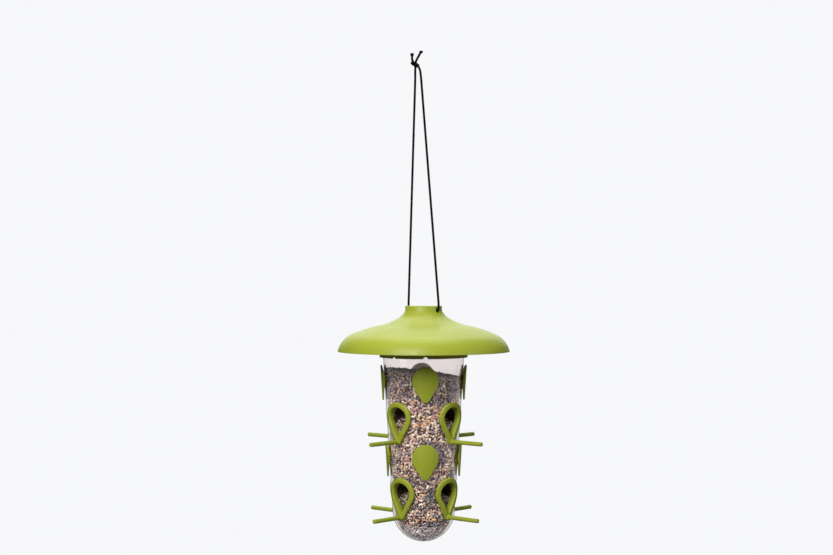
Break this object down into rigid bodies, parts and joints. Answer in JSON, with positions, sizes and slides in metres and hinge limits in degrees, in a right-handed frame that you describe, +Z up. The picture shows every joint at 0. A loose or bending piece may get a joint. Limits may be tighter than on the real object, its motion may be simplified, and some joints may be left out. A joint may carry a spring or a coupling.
{
  "type": "hanging tube bird feeder",
  "caption": "Hanging gravity-fed seed feeder: clear tapered tube with a round bottom, teardrop ports with perches and leaf plates, under a wide roof on a cord.",
  "frame": {"origin": "centre of the cord's loop round the branch", "axes": "+Z up, the seed ports face -Y, +X, +Y and -X, the cord crosses the neck along X"},
  "size_m": [0.172, 0.172, 0.4921],
  "materials": {
    "green_plastic": "satin moulded",
    "clear_plastic": "clear polished",
    "black_cord": "braided"
  },
  "bodies": {
    "cord": {"cord_right": "black_cord", "cord_left": "black_cord", "branch_knot": "black_cord", "end_knot_right": "black_cord", "end_knot_left": "black_cord"},
    "roof": {"roof": "green_plastic", "roof_skirt": "green_plastic"},
    "ring": {"twist_ring": "green_plastic"},
    "tube": {"tube": "clear_plastic", "port_upper_front": "green_plastic", "perch_upper_front": "green_plastic", "port_upper_right": "green_plastic", "perch_upper_right": "green_plastic", "port_upper_back": "green_plastic", "perch_upper_back": "green_plastic", "port_upper_left": "green_plastic", "perch_upper_left": "green_plastic", "leaf_upper_front_right": "green_plastic", "leaf_upper_back_right": "green_plastic", "leaf_upper_back_left": "green_plastic", "leaf_upper_front_left": "green_plastic", "port_lower_front": "green_plastic", "perch_lower_front": "green_plastic", "port_lower_right": "green_plastic", "perch_lower_right": "green_plastic", "port_lower_back": "green_plastic", "perch_lower_back": "green_plastic", "port_lower_left": "green_plastic", "perch_lower_left": "green_plastic", "leaf_lower_front_right": "green_plastic", "leaf_lower_back_right": "green_plastic", "leaf_lower_back_left": "green_plastic", "leaf_lower_front_left": "green_plastic"}
  },
  "joints": [
    {"name": "roof_tip", "type": "hinge", "parent": "cord", "child": "roof", "pos_m": [0.0072, 0, -0.2388], "axis": [1, 0, 0], "range_deg": [-70, 70]},
    {"name": "ring_twist", "type": "hinge", "parent": "roof", "child": "ring", "pos_m": [0.0072, 0, -0.28], "axis": [0, 0, -1], "range_deg": [0, 25]},
    {"name": "tube_drop", "type": "slide", "parent": "ring", "child": "tube", "axis": [0, 0, -1], "range_m": [0, 0.1]}
  ]
}
